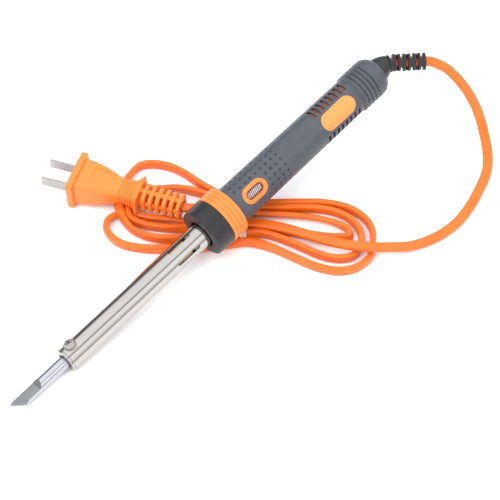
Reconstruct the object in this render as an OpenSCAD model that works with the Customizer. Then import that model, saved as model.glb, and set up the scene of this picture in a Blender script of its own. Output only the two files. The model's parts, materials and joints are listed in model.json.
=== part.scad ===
// Mains soldering iron with an external heater, a knife tip, a two-colour handle and a twin flat cord.
// The iron lies on its tip and on the hank of its own cord, so its axis rises by tilt from the tip (-X)
// to the cord end (+X). The origin is on the surface, under the middle of the iron.

/* [Tip] */
// Diameter of the tip's rod
tip_d = 7; // [6.6:0.1:7.2]
// Length of the whole tip, from its sharp point to the end inside the heater
tip_len = 112; // [100:1:114]
// Distance from the sharp point to the barrel's end ring
tip_out = 36; // [32:0.5:44]
// Length of the flattened blade along its long edge
blade_len = 18.6; // [16:0.1:22]
// Thickness of the blade
blade_t = 2; // [1.6:0.1:2.6]
// Angle of the cutting edge away from square
blade_angle = 40; // [30:1:50]

/* [Barrel] */
// Outer diameter of the barrel
barrel_d = 14; // [13.8:0.1:14.2]
// Wall of the barrel
barrel_wall = 0.5; // [0.4:0.05:0.6]
// Length of barrel in sight, from the end ring to the black collar
barrel_sight = 100; // [95:1:110]
// Length of a vent slot
slot_len = 16; // [12:0.5:18]
// Width of a vent slot
slot_w = 1.8; // [1.4:0.1:2.2]
// Number of vent slots
slot_count = 5; // [4:1:6]

/* [Collar and ring] */
// Length of the black collar
collar_len = 11; // [10:0.5:13]
// Largest diameter of the collar and of the ring
collar_d = 29; // [28:0.5:31]
// Length of the orange ring
ring_len = 10; // [9:0.5:12]
// Number of fine grooves in the ring
ring_grooves = 3; // [2:1:4]

/* [Handle] */
// Diameter of the grip at its front
grip_front_d = 22.6; // [22:0.1:24]
// Diameter of the grip at its rear
grip_rear_d = 21.4; // [21:0.1:23]
// Length of the smooth part of the grip
grip_len = 96.8; // [92:0.5:104]
// Number of ridges at the rear
ridge_count = 4; // [3:1:5]
// Distance between ridges
ridge_pitch = 2.8; // [2.4:0.1:3]
// Length of the rear cap in sight
cap_len = 9; // [8:0.5:10]
// Number of vents in one row
vent_count = 8; // [6:1:8]

/* [Cord and plug] */
// Width of the flat twin cord
cord_w = 5.5; // [5:0.1:5.6]
// Thickness of the flat twin cord
cord_t = 3.4; // [3:0.1:3.6]
// Spacing of the two plug blades
blade_pitch = 12.7; // [12.6:0.1:12.8]

/* [Hidden] */
$fn = 96;

// How the iron lies
tilt = 6.8;
tip_r = tip_d / 2;
tip_stem_r = tip_r - 0.2;
blade_roll = -12.5;
tip_corner = tip_r * sin(-blade_roll) + blade_t / 2 * cos(blade_roll);
lift = tip_corner * cos(tilt);

// Stations along the iron's axis, from the sharp point of the tip
end_ring_x = tip_out;
end_ring_lip = 1.4;
barrel_x = end_ring_x + end_ring_lip;
collar_x = barrel_x + barrel_sight;
ring_x = collar_x + collar_len;
grip_x = ring_x + ring_len;
ridge_x = grip_x + grip_len;
ridge_len = ridge_count * ridge_pitch;
cap_x = ridge_x + ridge_len;
rear_x = cap_x + cap_len;
window_x = grip_x + 14;
pad_x = grip_x + 80;
vent_x = grip_x + 68.5;

// Radii and places that several parts share
barrel_r = barrel_d / 2;
bore_r = barrel_r - barrel_wall;
rod_bore_r = tip_r + 0.05;
collar_r = collar_d / 2;
grip_front_r = grip_front_d / 2;
grip_rear_r = grip_rear_d / 2;
cap_r = 11.6;
cap_rear_r = 9.4;
core_r = 9;
cavity_r = 7.6;
nose_r = 12;
boss_r = 12.5;
screw_x = barrel_x + 5;
screw_angle = blade_roll;
screw_r = 1.45;
washer_t = 0.48;
fit_gap = 0.02;
slot_angle = -12.6;
slot_gap = 6.9;
face_angle = 40;
vent_spread = 56;
vent_pitch = 3.4;
vent_w = 1.3;
vent_arc = 6.5;
lead_y = 3;
heater_x = barrel_x + 10;
heater_len = 80;
insulator_x = heater_x + heater_len;
crimp_x = grip_x + 58;
crimp_len = 10;
clamp_x = ridge_x - 4;
clamp_len = 6;
clamp_h = 2.4;
clamp_screw_r = 1;
clamp_screw_end = 4.2;
spigot_x = cap_x - 8;

// The box's middle, between the tip's upper corner and the cap's lower rear edge
x_low = -tip_corner * sin(tilt);
x_high = rear_x * cos(tilt) + cap_rear_r * sin(tilt);
origin_x = (x_low + x_high) / 2;

// Strain relief: a straight root, a bend towards the cord and a ringed sleeve
relief_bend_x = rear_x + 3;
relief_bend_r = 14;
relief_bend = 42;
relief_roll = 100;
relief_r = 4.9;
relief_sleeve = 16;

// Route of the cord in the model's frame: relief, fall to the surface, wide arc, hank
cord_route = [
    [159, -12, 35], [164, -17, 34], [168, -24, 31], [170, -32, 26], [170, -41, 20], [168, -50, 13],
    [163, -59, 7], [156, -68, 3], [147, -75, 2], [135, -80, 2], [122, -84, 2], [108, -86, 2],
    [93, -84, 2], [80, -79, 2], [71, -71, 2.5], [65, -62, 2.5]
];

// Hank: circles whose hulls give its outline, seen from above
hank_h = 5;
hank_right = [57, -48, 22];
hank_waist = [34, -6, 16];
hank_front = [8, 14, 14];
hank_left = [-17, 39, 14];
hank_top = [18, 52, 13.5];
tie_at = [33, 2];
tie_angle = 44;
tie_size = [38, 3.6, 6];
tie_t = 0.6;

// Plug: stands on its flange's edge with its neck propped on the cord, its axis along +X of its own frame
plug_at = [-18.3, 80.4, 9.8];
plug_angle = -65;
plug_tilt = 2;
plug_flange = [3.8, 26.6, 19.6];
plug_neck_x = 26;
plug_lip_x = 35;
plug_relief_x = 39;
plug_relief_len = 24;
plug_ring_r = 6.5;
plug_ring_count = 6;
plug_blade = [17.2, 1.5, 6.35];

// Places children in the lying iron's own axes, with +X along the axis towards the cord
module iron() {
    translate([-origin_x, 0, lift]) rotate([0, -tilt, 0]) children();
}

// Turns a profile of [radius, station] points about the iron's axis
module turned(profile) {
    rotate([0, 90, 0]) rotate_extrude() polygon(profile);
}

// A ring between two radii and two stations
module sleeve(r_out, r_in, from, to) {
    turned([[r_in, from], [r_out, from], [r_out, to], [r_in, to]]);
}

// A rod along the axis direction
module rod(r, from, to) {
    translate([from, 0, 0]) rotate([0, 90, 0]) cylinder(r = r, h = to - from);
}

// Puts children at a station with +Z pointing out at an angle from the top, positive towards -Y
module facing(station, angle) {
    translate([station, 0, 0]) rotate([angle, 0, 0]) children();
}

// A slot outline with round ends, long along X
module stadium(len, width) {
    run = (len - width) / 2;
    square([2 * run, width], center = true);
    for (side = [-1, 1]) translate([side * run, 0]) circle(d = width);
}

// A stadium prism that stands outwards between two radii
module stadium_prism(station, angle, len, width, r_from, r_to) {
    facing(station, angle) translate([0, 0, r_from]) linear_extrude(r_to - r_from) stadium(len, width);
}

module tip() {
    shoulder = tip_r - blade_t / 2;
    edge_run = tip_d * tan(blade_angle);
    bevel_w = 1.5;
    edge_land = 0.3;
    rise = blade_t / 2 - edge_land;
    color("gainsboro") iron() rotate([blade_roll, 0, 0]) difference() {
        union() {
            rod(tip_stem_r, -1, tip_len - 1);
            rod(tip_r, blade_len + 0.1, tip_out - 1);
            translate([tip_len - 1, 0, 0]) rotate([0, 90, 0]) cylinder(r1 = tip_stem_r, r2 = tip_stem_r - 0.8, h = 1);
        }
        for (side = [0, 1]) mirror([0, 0, side]) rotate([90, 0, 0])
            linear_extrude(tip_d + 2, center = true)
                polygon([[-2, blade_t / 2], [blade_len - shoulder, blade_t / 2],
                    [blade_len + 1, tip_r + 1], [-2, tip_r + 1]]);
        linear_extrude(tip_d + 2, center = true)
            polygon([[-edge_run / tip_d, tip_r + 1], [edge_run * (1 + 1 / tip_d), -tip_r - 1],
                [-2, -tip_r - 1], [-2, tip_r + 1]]);
        // Bevel along the cutting edge, on the upper face
        translate([0, tip_r, 0]) rotate([0, 0, blade_angle]) rotate([90, 0, 0])
            linear_extrude(4 * tip_d, center = true)
                polygon([[-bevel_w, edge_land - rise], [2 * bevel_w, edge_land + 2 * rise],
                    [-bevel_w, edge_land + 2 * rise]]);
    }
}

module tip_screw() {
    head_r = 3.1;
    head_z = barrel_r + washer_t + 2 * fit_gap;
    head_h = 2.1;
    color("silver") iron() facing(screw_x, screw_angle) difference() {
        union() {
            translate([0, 0, tip_r + fit_gap]) cylinder(r = screw_r, h = head_z - tip_r);
            translate([0, 0, head_z]) cylinder(r = head_r, h = head_h / 2);
            translate([0, 0, head_z + head_h / 2]) cylinder(r1 = head_r, r2 = head_r - 0.9, h = head_h / 2);
        }
        for (turn = [0, 90]) rotate([0, 0, turn + 30])
            translate([0, 0, head_z + head_h - 0.45]) cube([3.4, 0.8, 2], center = true);
    }
}

module screw_washer() {
    color("silver") iron() facing(screw_x, screw_angle) translate([0, 0, barrel_r + fit_gap])
        difference() {
            cylinder(r = 3.65, h = washer_t);
            translate([0, 0, -1]) cylinder(r = screw_r + 0.1, h = 3);
        }
}

module end_ring() {
    color("silver") iron() difference() {
        turned([[rod_bore_r, heater_x], [bore_r, heater_x], [bore_r, barrel_x - 0.2], [barrel_r, barrel_x - 0.2],
            [barrel_r, end_ring_x + 0.5], [barrel_r - 0.5, end_ring_x], [tip_r + 0.8, end_ring_x],
            [tip_r + 0.8, end_ring_x + 1], [rod_bore_r, end_ring_x + 1.6]]);
        facing(screw_x, screw_angle) cylinder(r = screw_r + 0.05, h = barrel_r);
    }
}

module barrel_tube() {
    color("whitesmoke") iron() difference() {
        sleeve(barrel_r, bore_r, barrel_x, ring_x + 1.5);
        for (i = [0 : slot_count - 1])
            stadium_prism(collar_x - slot_gap - slot_len / 2, slot_angle + i * 360 / slot_count, slot_len, slot_w,
                bore_r - 1.5, barrel_r + 1);
        facing(screw_x, screw_angle) cylinder(r = screw_r + 0.25, h = barrel_r + 1);
    }
}

// Steel flange pressed on the barrel's rear end and screwed to the handle core
module barrel_flange() {
    color("silver") iron() difference() {
        sleeve(nose_r, barrel_r, ring_x - 2, ring_x - 1);
        for (side = [-1, 1]) translate([0, side * 9.6, 0]) rod(1.4, ring_x - 3, ring_x);
    }
}

module flange_screws() {
    color("silver") iron() for (side = [-1, 1]) translate([0, side * 9.6, 0]) {
        rod(2.2, ring_x - 4, ring_x - 2);
        rod(1.25, ring_x - 2, ring_x + 6);
    }
}

module heater_tube() {
    color("lightslategray") iron() sleeve(tip_r + 0.5, rod_bore_r, heater_x, insulator_x);
}

module inner_mica() {
    color("tan") iron() sleeve(tip_r + 0.9, tip_r + 0.5, heater_x + 2, insulator_x - 2);
}

// Resistance winding along the heater, one closed turn per pitch
module heater_winding() {
    wire_r = 0.3;
    pitch = 4;
    turns = floor((heater_len - 10) / pitch);
    color("peru") iron() for (i = [0 : turns]) translate([heater_x + 5 + i * pitch, 0, 0])
        rotate([0, 90, 0]) rotate_extrude() translate([tip_r + 0.9 + wire_r, 0]) circle(r = wire_r, $fn = 24);
}

module outer_mica() {
    color("tan") iron() sleeve(tip_r + 2.1, tip_r + 1.6, heater_x + 2, insulator_x - 2);
}

module rear_insulator() {
    color("ivory") iron() difference() {
        rod(bore_r, insulator_x, insulator_x + 6);
        for (side = [-1, 1]) translate([0, side * lead_y, 0]) rod(0.55, insulator_x - 1, insulator_x + 7);
    }
}

module heater_leads() {
    color("silver") iron() for (side = [-1, 1]) translate([0, side * lead_y, 0]) rod(0.5, insulator_x, crimp_x);
}

module lead_sleeves() {
    color("white") iron() for (side = [-1, 1]) translate([0, side * lead_y, 0])
        sleeve(1.3, 0.55, insulator_x + 6.2, crimp_x - 1);
}

module front_collar() {
    front_r = collar_r - 0.55;
    color([0.22, 0.22, 0.23]) iron()
        turned([[barrel_r, collar_x + 2.6], [barrel_r + 0.9, collar_x + 2.6], [barrel_r + 0.9, collar_x],
            [front_r - 0.8, collar_x], [front_r, collar_x + 0.8], [collar_r, ring_x - 0.5], [collar_r - 0.3, ring_x],
            [nose_r, ring_x], [nose_r, ring_x - 4.5], [barrel_r, ring_x - 4.5]]);
}

module grip_ring() {
    groove_w = 0.6;
    groove_d = 0.4;
    pitch = ring_len / (ring_grooves + 1);
    grooves = [for (i = [1 : ring_grooves]) each let(x = ring_x + i * pitch)
        [[collar_r, x - groove_w / 2], [collar_r - groove_d, x], [collar_r, x + groove_w / 2]]];
    color("darkorange") iron()
        turned(concat([[boss_r, ring_x], [collar_r - 0.3, ring_x], [collar_r, ring_x + 0.4]], grooves,
            [[collar_r, grip_x - 1.2], [collar_r - 0.4, grip_x - 0.4], [collar_r - 1.2, grip_x],
            [core_r, grip_x], [core_r, grip_x - 1], [boss_r, grip_x - 1]]));
}

// Cuts for the vents: one slot per station in two rows beside the pad
module vent_cuts(width, arc, r_from, r_to) {
    for (row = [-1, 1], i = [0 : vent_count - 1])
        facing(vent_x + i * vent_pitch, face_angle + row * vent_spread)
            translate([-width / 2, -arc / 2, r_from]) cube([width, arc, r_to - r_from]);
}

module handle_core() {
    color("darkorange") iron() {
        difference() {
            turned([[barrel_r, ring_x - 1], [nose_r, ring_x - 1], [nose_r, ring_x], [boss_r, ring_x],
                [boss_r, grip_x - 1], [core_r, grip_x - 1], [core_r, cap_x], [cavity_r, cap_x],
                [cavity_r, ring_x + 3], [barrel_r, ring_x + 3]]);
            for (side = [-1, 1]) translate([0, side * 9.6, 0]) rod(1.25, ring_x - 2, ring_x + 6);
            stadium_prism(window_x, face_angle, 12, 5.4, cavity_r - 3, core_r + 1);
            vent_cuts(vent_w - 0.4, vent_arc - 1.4, cavity_r - 2, core_r + 1);
        }
        // Seat under the cord clamp
        difference() {
            intersection() {
                translate([clamp_x, -cavity_r, -cavity_r - 1]) cube([clamp_len, 2 * cavity_r, cavity_r + 1 - cord_t / 2]);
                rod(cavity_r + 0.3, clamp_x, clamp_x + clamp_len);
            }
            at_clamp_screws() translate([0, 0, -clamp_screw_end]) cylinder(r = clamp_screw_r, h = clamp_screw_end);
        }
    }
}

// Outline of the grey sleeve between its front and its last ridge
module grip_outline() {
    ridge_r = 11.6;
    groove_r = 10.9;
    ridges = [for (i = [0 : ridge_count - 1]) each let(x = ridge_x + i * ridge_pitch)
        [[groove_r, x + 0.1], [ridge_r, x + 0.7], [ridge_r, x + 2], [groove_r, x + 2.6]]];
    turned(concat([[core_r, grip_x], [grip_front_r, grip_x], [grip_rear_r, ridge_x]], ridges,
        [[groove_r, cap_x], [core_r, cap_x]]));
}

module grip_sleeve() {
    color([0.42, 0.44, 0.47]) iron() difference() {
        grip_outline();
        stadium_prism(window_x, face_angle, 16.6, 10.1, core_r - 2, grip_front_r + 1);
        stadium_prism(pad_x, face_angle, 24.4, 10.6, core_r + 0.6, grip_front_r + 1);
        vent_cuts(vent_w, vent_arc, core_r - 2, grip_front_r + 1);
    }
}

module indicator_bezel() {
    color("darkorange") iron() intersection() {
        difference() {
            stadium_prism(window_x, face_angle, 16.6, 10.1, core_r - 2, grip_front_r + 1);
            stadium_prism(window_x, face_angle, 12, 5.4, core_r - 3, grip_front_r + 2);
        }
        sleeve(grip_front_r + 0.1, core_r, window_x - 12, window_x + 12);
    }
}

module indicator_lens() {
    color([0.85, 0.8, 0.8, 0.6]) iron() difference() {
        stadium_prism(window_x, face_angle, 12, 5.4, core_r + 0.2, grip_front_r - 0.9);
        for (i = [-4 : 4]) facing(window_x + i * 1.15, face_angle)
            translate([-0.25, -2, grip_front_r - 1.2]) cube([0.5, 4, 1]);
    }
}

module neon_lamp() {
    color([1, 0.75, 0.6, 0.7]) iron() facing(window_x, face_angle) translate([0, 0, 6.9]) {
        rod(2, -5, 3.5);
        translate([3.5, 0, 0]) rotate([0, 90, 0]) cylinder(r1 = 2, r2 = 0.8, h = 1.5);
    }
}

module lamp_resistor() {
    color("burlywood") iron() facing(window_x + 11, face_angle) translate([0, 0, 6.1]) rod(1.2, 0, 6.5);
}

module lamp_board() {
    half = 5.7;
    color("darkgreen") iron() facing(window_x - 8, face_angle) translate([0, -half, 3.9]) cube([30, 2 * half, 1]);
}

module lamp_leads() {
    color("silver") iron() facing(window_x, face_angle) {
        translate([0, 0, 6.1]) rod(0.3, 5, 11);
        translate([0, 0, 6.1]) rod(0.3, 17.5, 20);
        translate([19.7, 0, 4.9]) cylinder(r = 0.3, h = 1.2);
        translate([-6, 0, 4.9]) cylinder(r = 0.3, h = 2);
        translate([0, 0, 6.9]) rod(0.3, -6.3, -5);
    }
}

module badge_pad() {
    color("darkorange") iron() intersection() {
        stadium_prism(pad_x, face_angle, 24.4, 10.6, core_r + 0.6, grip_front_r + 1);
        turned([[core_r, grip_x], [grip_front_r, grip_x], [grip_rear_r, ridge_x], [core_r, ridge_x]]);
    }
}

module rear_cap() {
    color([0.42, 0.44, 0.47]) iron()
        turned([[6, spigot_x], [cavity_r, spigot_x], [cavity_r, cap_x], [cap_r - 0.7, cap_x], [cap_r, cap_x + 1],
            [cap_r, cap_x + 3], [cap_r - 0.3, rear_x - 2.6], [cap_rear_r, rear_x], [7, rear_x],
            [7, rear_x - 1.5], [5, rear_x - 1.5], [5, rear_x - 4], [6, rear_x - 4]]);
}

// Places children in the frame at the end of the relief's bend, with +X along the sleeve
module relief_sleeve_frame() {
    iron() facing(relief_bend_x, relief_roll)
        translate([relief_bend_r * sin(relief_bend), 0, relief_bend_r * (1 - cos(relief_bend))])
            rotate([0, -relief_bend, 0]) children();
}

module strain_relief() {
    ring_pitch = 2.9;
    color([0.17, 0.18, 0.19]) {
        iron() {
            turned([[0, rear_x - 5.5], [5.9, rear_x - 5.5], [5.9, rear_x - 4], [5, rear_x - 4], [5, rear_x - 1.5],
                [7, rear_x - 1.5], [7, rear_x + 0.4], [relief_r, relief_bend_x], [0, relief_bend_x]]);
            facing(relief_bend_x, relief_roll) translate([0, 0, relief_bend_r]) rotate([90, 0, 0])
                rotate([0, 0, -92]) rotate_extrude(angle = relief_bend + 2) translate([relief_bend_r, 0])
                    circle(r = relief_r - 0.4);
        }
        relief_sleeve_frame() {
            rod(relief_r - 0.9, -0.5, relief_sleeve);
            for (x = [0.8 : ring_pitch : relief_sleeve]) rod(relief_r + 0.1, x, x + 1.4);
        }
    }
}

// Cord inside the handle: the flat stretch, then its two cores
module inner_cord() {
    split_x = clamp_x - 8;
    color("darkorange") iron() {
        translate([split_x, -cord_w / 2, -cord_t / 2]) cube([rear_x - 5.5 - split_x, cord_w, cord_t]);
        for (side = [-1, 1]) translate([0, side * lead_y / 2, 0]) rod(1.2, crimp_x + crimp_len, split_x);
    }
}

module crimp_connectors() {
    color("steelblue") iron() for (side = [-1, 1]) translate([0, side * lead_y * 0.9, 0])
        rod(2.2, crimp_x, crimp_x + crimp_len);
}

// Puts children on the axes of the two clamp screws
module at_clamp_screws() {
    for (side = [-1, 1]) translate([clamp_x + clamp_len / 2, side * 4.2, 0]) children();
}

module cord_clamp() {
    color("dimgray") iron() difference() {
        translate([clamp_x, -5.6, cord_t / 2]) cube([clamp_len, 11.2, clamp_h]);
        at_clamp_screws() cylinder(r = clamp_screw_r + 0.1, h = cavity_r);
    }
}

module clamp_screws() {
    color("silver") iron() at_clamp_screws() {
        translate([0, 0, -clamp_screw_end]) cylinder(r = clamp_screw_r, h = clamp_screw_end + cord_t / 2 + clamp_h);
        translate([0, 0, cord_t / 2 + clamp_h]) cylinder(r = 1.4, h = 0.9);
    }
}

// Unit vector, smooth curve and swept tube
function unit(v) = v / norm(v);
function curve_point(a, b, c, d, t) =
    0.5 * (2 * b + (c - a) * t + (2 * a - 5 * b + 4 * c - d) * t * t + (3 * b - a - 3 * c + d) * t * t * t);
function curve(points, steps) = let(last = len(points) - 1) concat(
    [for (i = [0 : last - 1], j = [0 : steps - 1])
        curve_point(points[max(i - 1, 0)], points[i], points[i + 1], points[min(i + 2, last)], j / steps)],
    [points[last]]);

// Sweeps a section of [sideways, upwards] points along a path, keeping its sides level
module swept(path, section) {
    count = len(path);
    sides = len(section);
    rings = [for (i = [0 : count - 1])
        let(ahead = unit(path[min(i + 1, count - 1)] - path[max(i - 1, 0)]),
            across = unit(cross(abs(ahead[2]) > 0.95 ? [1, 0, 0] : [0, 0, 1], ahead)),
            above = cross(ahead, across))
        for (p = section) path[i] + across * p[0] + above * p[1]];
    walls = [for (i = [0 : count - 2], k = [0 : sides - 1]) let(a = i * sides + k, b = i * sides + (k + 1) % sides)
        [a, a + sides, b + sides, b]];
    polyhedron(rings, concat([[for (k = [0 : sides - 1]) k]], walls,
        [[for (k = [sides - 1 : -1 : 0]) (count - 1) * sides + k]]));
}

module cord() {
    section = [for (k = [0 : 7]) [cord_w / 2 * cos(k * 45), cord_t / 2 * sin(k * 45)]];
    color("darkorange") swept(curve(cord_route, 2), section);
}

module spot(circle_at) {
    translate([circle_at[0], circle_at[1]]) circle(r = circle_at[2]);
}

module hank_outline() {
    hull() { spot(hank_right); spot(hank_waist); }
    hull() { spot(hank_waist); spot(hank_front); }
    hull() { spot(hank_front); spot(hank_left); }
    hull() { spot(hank_front); spot(hank_top); spot(hank_waist); }
    hull() { spot(hank_left); spot(hank_top); }
}

// Band of the tie, standing across the strands
module tie_band() {
    translate([tie_at[0], tie_at[1], 0]) rotate([0, 0, tie_angle]) difference() {
        translate([-tie_size[0] / 2, -tie_size[1] / 2, 0]) cube(tie_size);
        translate([-tie_size[0] / 2 + tie_t, -tie_size[1], tie_t])
            cube([tie_size[0] - 2 * tie_t, 2 * tie_size[1], tie_size[2] - 2 * tie_t]);
    }
}

module cord_hank() {
    gap = 0.3;
    color("orange") difference() {
        linear_extrude(hank_h) hank_outline();
        tie_band();
        iron() rod(collar_r + gap, collar_x - gap, grip_x + gap);
        in_plug() {
            translate([-1, -plug_flange[1] / 2 - gap, -14]) cube([plug_neck_x, plug_flange[1] + 2 * gap, 25]);
            translate([plug_lip_x - 2, -9.6, -7 - gap]) cube([plug_relief_x - plug_lip_x + 2 + gap, 19.2, 15]);
        }
    }
}

module cord_tie() {
    color([0.9, 0.93, 0.95, 0.6]) tie_band();
}

module in_plug() {
    translate(plug_at) rotate([0, -plug_tilt, plug_angle]) children();
}

// Half of the plug body's outline as [station, half width] points, mirrored into a closed outline
function both_sides(half) = concat(half, [for (i = [len(half) - 1 : -1 : 0]) [half[i][0], -half[i][1]]]);

module plug_body() {
    flange = plug_flange[0];
    plan = [[0, plug_flange[1] / 2], [flange, plug_flange[1] / 2], [flange, 11], [12, 10.2], [18, 8.6],
        [plug_neck_x, 6.2], [plug_lip_x - 1.5, 6.4], [plug_lip_x + 2, 9.2], [plug_relief_x, 9.2]];
    side = [[0, plug_flange[2] / 2], [flange, plug_flange[2] / 2], [flange, 8], [14, 7.4],
        [plug_neck_x, 5.5], [plug_lip_x - 1.5, 5.5], [plug_lip_x + 2, 7], [plug_relief_x, 7]];
    color("darkorange") in_plug() intersection() {
        linear_extrude(2 * plug_flange[1], center = true) polygon(both_sides(plan));
        rotate([90, 0, 0]) linear_extrude(2 * plug_flange[1], center = true) polygon(both_sides(side));
    }
}

module plug_blades() {
    color("silver") in_plug() for (side = [-1, 1])
        translate([-plug_blade[0], side * blade_pitch / 2 - plug_blade[1] / 2, -plug_blade[2] / 2])
            cube(plug_blade);
}

module plug_relief() {
    pitch = plug_relief_len / plug_ring_count;
    color("darkorange") in_plug() {
        rod(5, plug_relief_x, plug_relief_x + plug_relief_len);
        for (i = [0 : plug_ring_count - 1])
            rod(plug_ring_r, plug_relief_x + (i + 0.4) * pitch, plug_relief_x + (i + 1) * pitch);
    }
}

tip();
tip_screw();
screw_washer();
end_ring();
barrel_tube();
barrel_flange();
flange_screws();
heater_tube();
inner_mica();
heater_winding();
outer_mica();
rear_insulator();
heater_leads();
lead_sleeves();
front_collar();
grip_ring();
handle_core();
grip_sleeve();
indicator_bezel();
indicator_lens();
neon_lamp();
lamp_resistor();
lamp_board();
lamp_leads();
badge_pad();
rear_cap();
strain_relief();
inner_cord();
crimp_connectors();
cord_clamp();
clamp_screws();
cord();
cord_hank();
cord_tie();
plug_body();
plug_blades();
plug_relief();
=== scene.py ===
"""Mains soldering iron with a knife tip, a two-colour handle and a flat twin cord to a two-blade plug."""

import json
import math

import bmesh
import bpy
import numpy as np
from mathutils import Matrix, Vector


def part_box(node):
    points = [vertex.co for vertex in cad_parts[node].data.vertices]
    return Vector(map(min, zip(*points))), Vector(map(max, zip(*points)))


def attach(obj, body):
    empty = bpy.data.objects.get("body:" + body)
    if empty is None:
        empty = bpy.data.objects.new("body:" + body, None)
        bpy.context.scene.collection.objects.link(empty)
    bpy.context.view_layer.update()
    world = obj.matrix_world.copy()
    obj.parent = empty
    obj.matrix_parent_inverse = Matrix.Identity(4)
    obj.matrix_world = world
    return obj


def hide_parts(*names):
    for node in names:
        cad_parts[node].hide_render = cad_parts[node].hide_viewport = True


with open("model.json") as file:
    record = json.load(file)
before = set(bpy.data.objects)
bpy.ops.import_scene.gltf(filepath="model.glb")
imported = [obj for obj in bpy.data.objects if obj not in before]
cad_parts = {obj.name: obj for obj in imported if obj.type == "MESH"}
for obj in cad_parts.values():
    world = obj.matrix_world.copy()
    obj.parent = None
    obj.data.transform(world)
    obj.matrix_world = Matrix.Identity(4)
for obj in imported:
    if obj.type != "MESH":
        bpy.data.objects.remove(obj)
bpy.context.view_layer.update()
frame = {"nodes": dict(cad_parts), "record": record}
MM = 0.001

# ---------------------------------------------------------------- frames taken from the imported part


def mount(name):
    return next(m for m in frame["record"]["mounts"] if m["name"] == name)


def cad_points(node):
    return np.array([v.co for v in frame["nodes"][node].data.vertices], float)


def axes_matrix(origin, along, across, above):
    """Millimetres along three directions to metres in the row frame."""
    turn = Matrix([along, across, above]).transposed().to_4x4()
    return Matrix.Translation(origin) @ turn @ Matrix.Scale(MM, 4)


AXIS = -Vector(mount("tip_shank")["axis"])
ABOVE = AXIS.cross(Vector((0, 1, 0)))
ON_AXIS = mount("tip_shank")["pos_m"]
SHANK_X = 26.85
IRON = axes_matrix(Vector(ON_AXIS) - AXIS * SHANK_X * MM, AXIS, Vector((0, 1, 0)), ABOVE)

PLUG_AXIS = -Vector(mount("plug_pins")["axis"])
PLUG_SIDE = Vector((0, 0, 1)).cross(PLUG_AXIS).normalized()
PLUG = axes_matrix(Vector(mount("plug_pins")["pos_m"]), PLUG_AXIS, PLUG_SIDE, PLUG_AXIS.cross(PLUG_SIDE))


def span(node):
    """First and last station of a CAD node along the iron's axis, in millimetres from the sharp point."""
    stations = (cad_points(node) - np.array(IRON.translation)) @ np.array(AXIS) / MM
    return float(stations.min()), float(stations.max())


def facing(station, angle):
    """Frame at a station whose +Z points out at an angle from the top, positive towards -Y."""
    return IRON @ Matrix.Translation((station, 0, 0)) @ Matrix.Rotation(math.radians(angle), 4, "X")


# ---------------------------------------------------------------- sizes in millimetres
TIP_R = 3.5
BLADE_ROLL = -12.5
BLADE_T = 2.0
BLADE_ANGLE = 40
BLADE_LEN = 18.6
EDGE_LAND = 0.3
EDGE_W = 1.6
BARREL_R = 7.0
BORE_R = 6.5
COLLAR_R = 14.5
CORE_R = 9.0
GRIP_FRONT_R = 11.3
GRIP_REAR_R = 10.7
RIDGE_R = 11.6
GROOVE_R = 10.9
CAP_R = 11.6
CAP_REAR_R = 9.4
FACE_ANGLE = 40
CORD_W = 5.5
CORD_T = 3.4
RELIEF_R = 5.0

END_RING_X = span("end_ring")[0]
BARREL_X, BARREL_END = span("barrel_tube")
COLLAR_X = span("front_collar")[0]
RING_X, GRIP_X = span("grip_ring")
CAP_X = span("grip_sleeve")[1]
REAR_X = span("rear_cap")[1]
SCREW_X = BARREL_X + 5
RIDGE_COUNT = 4
RIDGE_PITCH = 2.8
RIDGE_X = CAP_X - RIDGE_COUNT * RIDGE_PITCH
WINDOW_X = GRIP_X + 14
PAD_X = GRIP_X + 80
VENT_X = GRIP_X + 68.5
SLOT_X = COLLAR_X - 14.9
SLOT_ANGLES = [-12.6 + 72 * i for i in range(5)]

# ---------------------------------------------------------------- camera, floor and light
CAMERA_AZIMUTH = -46.0
CAMERA_ELEVATION = 54.5
CAMERA_DISTANCE = 1.150
CAMERA_TARGET = Vector((0.0189, -0.01675, 0))
CAMERA_LENS = 153.36


def direction(azimuth, elevation):
    a, e = math.radians(azimuth), math.radians(elevation)
    return Vector((math.sin(a) * math.cos(e), -math.cos(a) * math.cos(e), math.sin(e)))


def aimed(obj, azimuth, elevation, distance, target):
    back = direction(azimuth, elevation)
    obj.location = target + back * distance
    obj.rotation_mode = "QUATERNION"
    obj.rotation_quaternion = (-back).to_track_quat("-Z", "Y")
    bpy.context.scene.collection.objects.link(obj)


def make_camera():
    data = bpy.data.cameras.new("camera")
    data.sensor_width = 36
    data.lens = CAMERA_LENS
    data.clip_start, data.clip_end = 0.05, 20
    camera = bpy.data.objects.new("camera", data)
    aimed(camera, CAMERA_AZIMUTH, CAMERA_ELEVATION, CAMERA_DISTANCE, CAMERA_TARGET)
    bpy.context.scene.camera = camera


def softbox(name, azimuth, elevation, distance, width, height, power, tint=(1, 1, 1)):
    data = bpy.data.lights.new(name, "AREA")
    data.shape = "RECTANGLE"
    data.size, data.size_y = width, height
    data.energy = power
    data.color = tint
    lamp = bpy.data.objects.new(name, data)
    lamp.visible_glossy = False
    aimed(lamp, azimuth, elevation, distance, CAMERA_TARGET)


# Brightness of the studio round the iron's axis, by angle from the top towards -Y
BANDS = [
    (-180, 0.36), (-112, 0.36), (-96, 0.10), (-70, 0.10), (-58, 0.28),
    (-46, 0.84), (14, 0.90), (19, 0.38), (29, 0.38),
    (34, 0.97), (60, 0.93), (70, 0.66), (84, 0.42), (93, 0.38), (112, 0.38), (180, 0.36),
]


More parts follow.
